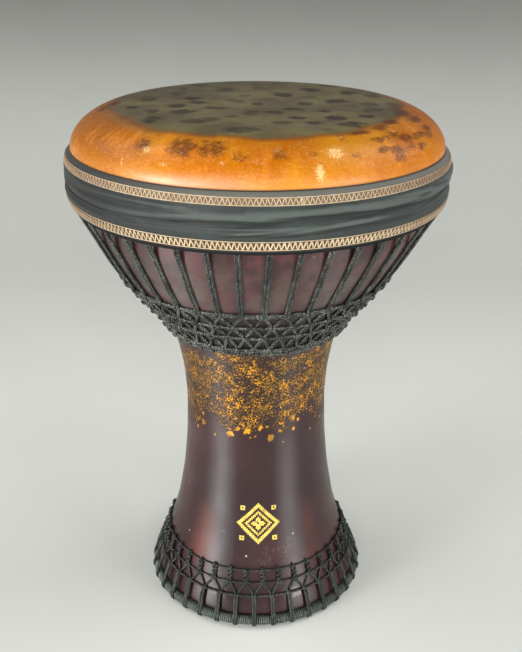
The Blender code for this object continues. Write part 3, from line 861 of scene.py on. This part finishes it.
def band_relief(angle, z):
    """How far the cloth stands out or in at its creases, hollows and wrinkles, and their shade."""
    lift = np.zeros(angle.shape)
    shade = np.zeros(angle.shape)
    for strength, places in CREASES:
        angles, heights = np.array(places).T
        along = (angle - angles[0]) % TAU
        span = angles[-1] - angles[0]
        fade = min(0.30, span * 0.3)
        share = strength * smooth(along, 0.0, fade) * smooth(along, span, span - fade)
        above = z - np.interp(along, angles - angles[0], heights)
        belly = bell(above, 0.0040, 0.0034)
        hollow = bell(above, -0.0024, 0.0030)
        nick = bell(above, -0.0002, 0.0009)
        line = bell(above, -0.0004, 0.0014)
        lift += share * (0.00160 * belly - 0.00090 * hollow - 0.00060 * nick)
        shade += share * (0.75 * line + 0.50 * hollow - 0.60 * belly)
    for centre, height, length, width, depth in HOLLOWS:
        away = turned_away(angle, centre)
        share = depth * np.exp(-(away / length) ** 2 - ((z - height) / width) ** 2)
        lift -= share
        shade += share / 0.0018
    for centre, height, slope, length, width, size in WRINKLES:
        away = turned_away(angle, centre)
        across = (z - height - slope * away) / width
        fade = bell(away, 0.0, length)
        ridge, dip = bell(across, 0.0, 1.0), bell(across, -1.5, 0.7)
        lift += size * fade * (ridge - 0.8 * dip)
        shade += size / 0.00055 * fade * (0.7 * dip - 0.5 * ridge)
    return lift, shade


def band_fold(angle, z):
    """Relief and shade of the open cloth between the two trims, which hold it flat."""
    angle, z = np.broadcast_arrays(angle, z)
    held = smooth(z, LOWER_TRIM[1] + 0.0008, LOWER_TRIM[1] + 0.0045)
    held = held * smooth(z, UPPER_TRIM[0] - 0.0006, UPPER_TRIM[0] - 0.0036)
    lift, shade = band_relief(angle, z)
    return lift * held, shade * held


def band_radius(angle, z):
    """Outside radius of the band, folds included."""
    edge = ripple(angle, z * 0, 31, 0.00030, 1.0)
    return np.interp(z, BAND_Z, BAND_R) + band_fold(angle, z)[0] + edge


def make_band():
    heights = np.linspace(BAND_HIGH - 0.0006, BAND_LOW + 0.0005, BAND_ROWS)[:, None]
    angles = TAU * np.arange(BAND_STEPS)[None, :] / BAND_STEPS
    outside = band_radius(angles, heights)
    points = np.concatenate([
        at(outside, angles, heights),
        at(outside[-1:] - BAND_T / 2, angles, BAND_LOW),
        at(outside[::-3] - BAND_T, angles, heights[::-3]),
        at(outside[:1] - BAND_T / 2, angles, BAND_HIGH)])
    faces = grid_faces(len(points), BAND_STEPS, closed_rows=True)[:, ::-1]
    fold_shade = band_fold(angles, points[:, :1, 2])[1]
    piece = mesh_piece("cloth_band", points, faces, [band_material()], ["cover_band"],
                       marks={"fold_shade": fold_shade})


def make_lining():
    """The dark strip that shows below the band."""
    low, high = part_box("band_lining")
    heights = np.linspace(high.z, low.z + 0.0003, LINING_ROWS)
    profile_z, profile_r = ray_profile("band_lining", low.z + 0.0002, high.z - 0.0002, 0.001)
    base = np.interp(heights, profile_z, profile_r) - BAND_SET_IN
    outline = [*zip(base, heights), (base[-1] - 0.0003, low.z)]
    outline += [(r - LINING_T, z) for r, z in zip(base[::-1], heights[::-1])]
    points = turned(outline, HIDE_STEPS, (12, 0.0002, 0.05))
    faces = grid_faces(len(outline), HIDE_STEPS, closed_rows=True)[:, ::-1]
    cloth = plain_material("lining_cloth", lambda m: m.noise(300.0, 3.0), (13, 13, 13), (26, 26, 25),
                           (700.0, 2.0, 0.0002, 0.6), Roughness=0.85, Specular_IOR_Level=0.2).mat
    piece = mesh_piece("lining_strip", points, faces, [cloth], ["band_lining"])


TRIM_PERIODS = 258
DOUBLED_STITCH = 0.20                 # angle at which the upper trim's ends meet


def zigzag(corners, heights, lift):
    """Straight stitches between corners, which round each corner tightly."""
    points = []
    count = len(corners)
    for i in range(count):
        a0, z0 = corners[i], heights[i]
        a1 = corners[(i + 1) % count] + (TAU if i == count - 1 else 0.0)
        z1 = heights[(i + 1) % count]
        for t in (0.07, 0.35, 0.65, 0.93):
            a, z = a0 + (a1 - a0) * t, z0 + (z1 - z0) * t
            points.append(at(band_radius(a, z) + lift, a, z))
    return np.array(points)


def trim_paths(low, high, passes):
    """Two straight threads, and the zigzag between them in one pass or more."""
    straight = TAU * np.arange(420) / 420
    paths = [(at(band_radius(straight, z) + THREAD_R * 0.6, straight, z), True) for z in (low, high)]
    count = 2 * TRIM_PERIODS
    for one in range(passes):
        corner = TAU * (np.arange(count) + 0.22 * one) / count
        z = np.where(np.arange(count) % 2 == 0, high - 0.0002, low + 0.0002)
        paths.append((zigzag(corner, z, THREAD_R * (1.5 + 0.6 * one)), True))
    return paths


def make_trims(mat):
    for name, span, passes in (("upper", UPPER_TRIM, 1), ("lower", LOWER_TRIM, 2)):
        low, high = span[0] + THREAD_R, span[1] - THREAD_R
        paths = trim_paths(low, high, passes)
        if name == "upper":
            z = np.linspace(low, high, 5)
            for angle in (DOUBLED_STITCH - 0.006, DOUBLED_STITCH, DOUBLED_STITCH + 0.006):
                paths.append((at(band_radius(angle, z) + THREAD_R * 1.6, angle, z), False))
        cord_piece(f"{name}_trim", paths, THREAD_R, TWINE, mat,
                   [f"{name}_stitching"], THREAD_STEP)


# Rope and nets

def arc(middle_r, middle_z, reach, turns):
    """Radii and heights on a circle round a level ring, at turns in degrees from outside upwards."""
    turns = [math.radians(turn) for turn in turns]
    return [(middle_r + reach * math.cos(t), middle_z + reach * math.sin(t)) for t in turns]


def strand_route():
    """Radii and heights of a rope strand, from under the net's first row up over the hoop."""
    route = []
    for above, lift in ((-0.0022, 0.0014), (-0.0006, 0.0032), (0.0018, 0.0027),
                        (0.006, CORD_LIFT), (0.014, CORD_LIFT), (0.024, CORD_LIFT)):
        z = NET_ROWS[0] + above
        route.append((float(off_clay(z, lift)), z))
    # Straight to the bend under the collar, and up beside the hoop
    start_r, start_z = route[-1]
    bend_z = BAND_LOW - BEND_DROP
    bend_r = clay_radius(bend_z) + BEND_LIFT
    for share in (0.35, 0.7, 1.0):
        route.append((start_r + (bend_r - start_r) * share, start_z + (bend_z - start_z) * share))
    route.append(((bend_r + HOOP_R + BESIDE_HOOP) / 2, (bend_z + HOOP_Z) / 2))
    return route + arc(HOOP_R, HOOP_Z, OVER_HOOP, (0, 40, 80))


def make_tension_rope(mat):
    """The rope in three lengths, each with a third of its pairs of strands."""
    route = strand_route()
    third = STRAPS // 3
    for part in range(3):
        points = []
        for i in range(third):
            middle = FIRST_STRAP + 2 * HALF_STRAP * (part * third + i)
            points += [at(r, middle - STRAP_HALF / r, z) for r, z in route[::-1]]
            points += [at(r, middle + STRAP_HALF / r, z) for r, z in route]
        cord_piece(f"tension_rope_{part + 1}", [(np.array(points), False)], STRAP_R, BRAID, mat,
                   replaces=["tension_rope"])


def row_knots(z, count, first, rng=None):
    """(angle, height) of the knots of a row, each a little out of place if rng is given."""
    knots = []
    for k in range(count):
        turn, rise = (rng.uniform(-0.009, 0.009), rng.uniform(-0.0005, 0.0005)) if rng else (0.0, 0.0)
        knots.append((first + TAU * k / count + turn, z + rise))
    return knots


def net_round_points(tops, lows, top_drop=0.0, low_rise=0.0):
    """Down from each top knot to the low one after it and up again, hooked over the cord at each tip."""
    points = []
    tips = []
    for (top_angle, top_z), (low_angle, low_z) in zip(tops, lows):
        tips += [(top_angle, top_z - top_drop), (low_angle, low_z + low_rise)]
    tips.append((tips[0][0] + TAU, tips[0][1]))
    for (a0, z0), (a1, z1) in zip(tips, tips[1:]):
        for t, lift in ((0.0, TIP_LIFT), (0.18, CORD_LIFT), (0.5, CORD_LIFT), (0.82, CORD_LIFT)):
            points.append(on_clay(a0 + (a1 - a0) * t, z0 + (z1 - z0) * t, lift))
    return np.array(points)


def row_points(knots, low_lift, high_lift, sag):
    """A cord that passes over its knots, and sags and lies closer to the clay between them."""
    steps = 8
    points = []
    around = knots + [(knots[0][0] + TAU, knots[0][1])]
    for (a0, z0), (a1, z1) in zip(around, around[1:]):
        for i in range(steps):
            t = i / steps
            rise = (1 + math.cos(TAU * t)) / 2
            z = z0 + (z1 - z0) * t - sag * (1 - rise)
            points.append(on_clay(a0 + (a1 - a0) * t, z, low_lift + (high_lift - low_lift) * rise))
    return np.array(points)


def winding(angle, z, sizes, phase):
    """A path round a level cord, its loops square to the cord. sizes is a row such as NET_KNOT."""
    lift, wide, tall, turns, pitch = sizes
    tilt = float(clay_tilt(z))
    centre = at(float(off_clay(z, lift)), angle, z)
    out = np.array([math.sin(angle) * math.cos(tilt), -math.cos(angle) * math.cos(tilt), -math.sin(tilt)])
    side = np.array([math.cos(angle), math.sin(angle), 0.0])
    up = np.cross(out, side)
    points = []
    count = int(12 * turns)
    for i in range(count + 1):
        t = TAU * turns * i / count + phase
        drift = pitch * turns * (i / count - 0.5)
        points.append(centre + wide * math.cos(t) * out + tall * math.sin(t) * up + drift * side)
    return np.array(points), False


def make_bowl_net(mat):
    rng = random.Random(4)
    knots = []
    for i, z in enumerate(NET_ROWS):
        knots.append(row_knots(z, STRAPS, FIRST_STRAP + i * HALF_STRAP, rng if i else None))
    for i in range(3):
        points = net_round_points(knots[i], knots[i + 1], 0.0010, -0.0002)
        cord_piece(f"net_zigzag_{i + 1}", [(points, True)], NET_CORD_R, BRAID, mat,
                   replaces=[f"net_round_{i + 1}"])
    for i, z in enumerate(NET_ROWS):
        paths = [(row_points(knots[i], 0.0017, 0.0022, 0.0004), True)]
        if i == 0:
            # The first row is two cords, one above the other
            upper = row_knots(z + 0.0011, STRAPS, FIRST_STRAP)
            lower = row_knots(z - 0.0009, STRAPS, FIRST_STRAP + HALF_STRAP, rng)
            paths = [(row_points(upper, 0.0015, 0.0015, 0.0), True),
                     (row_points(lower, 0.0015, 0.0012, 0.0004), True)]
        cord_piece(f"net_row_{i + 1}", paths, NET_CORD_R, BRAID, mat, replaces=[f"net_cord_{i + 1}"])
    wraps = [winding(angle, z, NET_KNOT, rng.uniform(0, TAU)) for angle, z in knots[1] + knots[2] + knots[3]]
    cord_piece("net_knots", wraps, KNOT_CORD_R, THIN_BRAID, mat)


def make_waist_cords(mat):
    for name, z in zip(("upper", "lower"), WAIST_ROWS):
        points = row_points(row_knots(z, STRAPS, FIRST_STRAP), 0.0015, 0.0015, 0.0)
        cord_piece(f"waist_{name}", [(points, True)], WAIST_CORD_R, BRAID, mat,
                   replaces=[f"waist_cord_{name}"])
    middle = sum(WAIST_ROWS) / 2 + 0.0004
    rng = random.Random(6)
    ties = [winding(FIRST_STRAP + (2 * k + 1.4) * HALF_STRAP, middle, WAIST_TIE, rng.uniform(2.6, 3.6))
            for k in range(STRAPS)]
    cord_piece("waist_ties", ties, KNOT_CORD_R, THIN_BRAID, mat)


def ring_reach(angle):
    """Radius of the foot ring's rope, drawn in where a lashing goes round it."""
    away = (angle - FIRST_FOOT_PAIR + HALF_FOOT) % (2 * HALF_FOOT) - HALF_FOOT
    return RING_ROPE_R - RING_DENT * bell(away * RING_R, 0.0, 0.0026)


def make_foot_ring(mat):
    """A rope core, wound all round with thinner cord."""
    steps = 12
    total = FOOT_PAIRS * 9 * steps
    turn = TAU * np.arange(total) / steps
    angle = TAU * np.arange(total) / total
    reach = ring_reach(angle) - WINDING_R
    points = at(RING_R + reach * np.cos(turn), angle, RING_Z + reach * np.sin(turn))
    verts, quads, caps, _ = tubes([(even_path(points, True, WINDING_STEP), True)], WINDING_R, PLAIN_THIN)
    out = np.hypot(np.hypot(verts[:, 0], verts[:, 1]) - RING_R, verts[:, 2] - RING_Z)
    around = np.arctan2(verts[:, 0], -verts[:, 1])
    # Crests of the winding, which the cord material paints lighter as highlights
    crest = smooth(out - ring_reach(around), -0.0007, 0.0)
    mesh_piece("wound_ring", verts, quads, [mat], ["foot_ring"], caps, marks={"raised": crest})
    core_r = RING_ROPE_R - RING_DENT - WINDING_R - 0.0001
    core = level_ring(RING_R, RING_Z, 180)
    cord_piece("ring_core", [(core, True)], core_r, PLAIN, mat, step=0.003)


def lashing_points(middle, row_z):
    """A pair of strands that comes down over its row, goes round the ring and back up."""
    reach = RING_ROPE_R - RING_DENT + FOOT_CORD_R
    route = [(float(off_clay(row_z + above, lift)), row_z + above)
             for above, lift in ((0.0016, 0.0014), (-0.0002, 0.0030))]
    route += arc(RING_R, RING_Z, reach, (30, 0, -30, -60, -90, -125))
    points = [at(r, middle - FOOT_HALF / r, z) for r, z in route]
    points += [at(r, middle + FOOT_HALF / r, z) for r, z in route[::-1]]
    return np.array(points)


def twisted_pair(middle, low, high, turns, first_turn):
    """Two strands twisted round each other on the way up."""
    pair = []
    for half in (0.0, math.pi):
        points = []
        for i in range(13):
            share = i / 12
            z = low + (high - low) * share
            turn = first_turn + half + TAU * turns * share
            radius = float(off_clay(z, 0.0020 + 0.0009 * math.cos(turn)))
            points.append(at(radius, middle + 0.0015 * math.sin(turn) / radius, z))
        pair.append((np.array(points), False))
    return pair


def make_foot_net(mat):
    low, mid, top = FOOT_ROWS
    lashings, uprights, wraps = [], [], []
    rng = random.Random(8)
    for k in range(FOOT_PAIRS):
        middle = FIRST_FOOT_PAIR + 2 * k * HALF_FOOT
        upper = middle + HALF_FOOT
        lashings.append((lashing_points(middle, low), False))
        wraps.append(winding(middle, low, FOOT_KNOT_LOW, rng.uniform(0, TAU)))
        uprights += twisted_pair(upper, mid - 0.0002, top + 0.0004, 1.5, rng.uniform(0, 0.6))
        wraps.append(winding(upper, mid, FOOT_KNOT_MID, rng.uniform(0, TAU)))
        wraps.append(winding(upper, top, FOOT_KNOT_TOP, rng.uniform(0, TAU)))
    cord_piece("ring_lashing", lashings, FOOT_CORD_R, BRAID, mat, replaces=["foot_lashing"])
    cord_piece("twisted_uprights", uprights, FOOT_CORD_R, BRAID, mat, replaces=["foot_uprights"])
    cord_piece("foot_knots", wraps, THIN_CORD_R, THIN_BRAID, mat)
    tops = row_knots(mid, FOOT_PAIRS, FIRST_FOOT_PAIR + HALF_FOOT)
    lows = row_knots(low, FOOT_PAIRS, FIRST_FOOT_PAIR + 2 * HALF_FOOT)
    points = net_round_points(tops, lows)
    cord_piece("foot_zigzag", [(points, True)], FOOT_CORD_R, BRAID, mat, replaces=["foot_net_round"])
    for name, z, radius, low_lift, high_lift, shift in (("lower", low, FOOT_CORD_R, 0.0015, 0.0024, 0),
                                                        ("middle", mid, THIN_CORD_R, 0.0012, 0.0022, 1),
                                                        ("upper", top, THIN_CORD_R, 0.0011, 0.0018, 1)):
        knots = row_knots(z, FOOT_PAIRS, FIRST_FOOT_PAIR + shift * HALF_FOOT)
        points = row_points(knots, low_lift, high_lift, 0.0003)
        cord_piece(f"foot_row_{name}", [(points, True)], radius, BRAID, mat, replaces=[f"foot_cord_{name}"])


def make_hoop():
    steel = plain_material("hoop_steel", lambda m: m.noise(160.0, 3.0),
                           (150, 150, 152), (190, 190, 192), Metallic=1.0)
    steel.set(Roughness=steel.noise(300.0).ramp(0.3, 0.7, 0.28, 0.42))
    ring = level_ring(HOOP_R, HOOP_Z, 120)
    cord_piece("steel_hoop", [(ring, True)], HOOP_WIRE_R, PLAIN, steel.mat,
               ["flesh_hoop"], step=0.004)


# The motif on the stem

MOTIF_CELL = 0.00148
MOTIF_REACH = 13                      # cells from its middle to a corner
MOTIF_Z = 0.0960
MOTIF_ANGLE = math.radians(2.2)
MOTIF_SINK, MOTIF_T = 0.0002, 0.00012


def motif_filled(i, j):
    """A stepped lozenge, as woven into flat rugs: two rings, a middle cross and four dots."""
    reach = abs(i) + abs(j)
    outer = 11 <= reach <= 13
    inner = 7 <= reach <= 8
    cross = reach <= 4 and (abs(i) <= 1 or abs(j) <= 1) and reach != 0
    dots = 9 <= abs(i) <= 11 and 9 <= abs(j) <= 11 and not (abs(i) == 10 and abs(j) == 10)
    return outer or inner or cross or dots


def make_motif():
    verts, faces = [], []
    cells = range(-MOTIF_REACH, MOTIF_REACH + 1)
    for i, j in [(i, j) for i in cells for j in cells if motif_filled(i, j)]:
        first = len(verts)
        for lift in (-MOTIF_SINK, MOTIF_T):
            for u, v in ((-0.5, -0.5), (0.5, -0.5), (0.5, 0.5), (-0.5, 0.5)):
                z = MOTIF_Z + (j + v) * MOTIF_CELL
                angle = MOTIF_ANGLE + (i + u) * MOTIF_CELL / float(clay_radius(MOTIF_Z))
                verts.append(at(float(off_clay(z, lift)), angle, z))
        sides = [(k, (k + 1) % 4, 4 + (k + 1) % 4, 4 + k) for k in range(4)]
        faces += [[first + k for k in corners] for corners in [(4, 5, 6, 7), (3, 2, 1, 0), *sides]]
    gilt = plain_material("gold_paint", lambda m: m.noise(260.0, 4.0, 0.7).ramp(0.36, 0.50), (150, 122, 60),
                          (222, 196, 88), (800.0, 2.0, 0.0001, 0.5), Roughness=0.42).mat
    mesh_piece("stem_motif", np.array(verts), faces, [gilt])


# Floor, light and camera

COVE_START, COVE_R = 0.8, 1.4         # where the floor turns up behind the drum, and how widely
STAGE_HALF, STAGE_FRONT, STAGE_HIGH = 4.5, -3.0, 5.0
ROOM_COLOUR, ROOM_STRENGTH = (0.95, 0.97, 1.0, 1.0), 0.19

# Lamps: name, place, aim, size, power. Each window has a brighter core, for soft edges to its reflection
LOW_AIM, MIDDLE = (0.0, 0.0, 0.28), (0.0, 0.0, 0.30)
LAMPS = (
    ("left_window", (-1.89, -1.47, 0.37), LOW_AIM, (1.75, 0.60), 40.0),
    ("left_window_core", (-1.87, -1.46, 0.37), LOW_AIM, (0.75, 0.60), 36.0),
    ("right_window", (1.88, -1.72, 0.37), LOW_AIM, (1.55, 0.60), 30.0),
    ("right_window_core", (1.86, -1.70, 0.37), LOW_AIM, (0.65, 0.60), 16.0),
    ("left_top", (-1.7, 0.3, 2.1), MIDDLE, (1.8, 1.8), 20.0),
    ("right_top", (1.7, 0.2, 2.1), MIDDLE, (1.8, 1.8), 28.0),
    ("front_fill", (0.0, -2.0, 1.35), MIDDLE, (1.6, 0.7), 12.0))


def make_stage():
    rows = [(STAGE_FRONT + (COVE_START - STAGE_FRONT) * i / 20, 0.0) for i in range(21)]
    rows += [(COVE_START + COVE_R * sin, COVE_R - COVE_R * cos) for sin, cos in quarter(16, 1)]
    rows.append((COVE_START + COVE_R, STAGE_HIGH))
    verts = [(x, y, z) for y, z in rows for x in (-STAGE_HALF, STAGE_HALF)]
    faces = [[2 * i, 2 * i + 1, 2 * i + 3, 2 * i + 2] for i in range(len(rows) - 1)]
    mesh = bpy.data.meshes.new("floor")
    mesh.from_pydata(verts, [], faces)
    mesh.shade_smooth()
    mesh.materials.append(floor_material())
    floor = bpy.data.objects.new("floor", mesh)
    bpy.context.scene.collection.objects.link(floor)


def make_lights():
    for name, place, aim, size, power in LAMPS:
        data = bpy.data.lights.new(name, "AREA")
        data.shape = "RECTANGLE"
        data.size, data.size_y = size
        data.energy = power
        lamp = bpy.data.objects.new(name, data)
        lamp.location = place
        lamp.rotation_euler = (Vector(aim) - Vector(place)).to_track_quat("-Z", "Y").to_euler()
        bpy.context.scene.collection.objects.link(lamp)
    world = bpy.data.worlds.new("room")
    world.use_nodes = True
    background = world.node_tree.nodes["Background"]
    background.inputs["Color"].default_value = ROOM_COLOUR
    background.inputs["Strength"].default_value = ROOM_STRENGTH
    bpy.context.scene.world = world


def make_camera():
    data = bpy.data.cameras.new("camera")
    data.sensor_width = CAMERA_SENSOR
    data.lens = CAMERA_LENS
    camera = bpy.data.objects.new("camera", data)
    turn = Matrix.Rotation(math.pi / 2 - CAMERA_TILT, 4, "X") @ Matrix.Rotation(CAMERA_ROLL, 4, "Z")
    camera.matrix_world = Matrix.Translation(CAMERA_PLACE) @ turn
    bpy.context.scene.collection.objects.link(camera)
    bpy.context.scene.camera = camera


def main():
    make_camera()
    make_lights()
    make_stage()
    cord = cord_material("braided_cord", (12, 15, 14), (112, 117, 110))
    # The net's cord is the same braid with brighter flecks, painted highlights where its rows catch the
    # light
    net_cord = cord_material("net_cord", (10, 12, 11), (126, 128, 120), 0.015)
    foot_cord = cord_material("foot_cord", (17, 20, 18), (94, 100, 92), -0.02)
    ring = cord_material("ring_rope", (18, 21, 19), (92, 99, 91))
    make_clay_body()
    make_head()
    make_hoop()
    make_tension_rope(cord)
    make_bowl_net(net_cord)
    make_waist_cords(net_cord)
    make_foot_ring(ring)
    make_foot_net(foot_cord)
    make_lining()
    make_band()
    make_trims(thread_material())
    make_motif()
    bpy.context.scene.view_settings.view_transform = "Standard"


main()
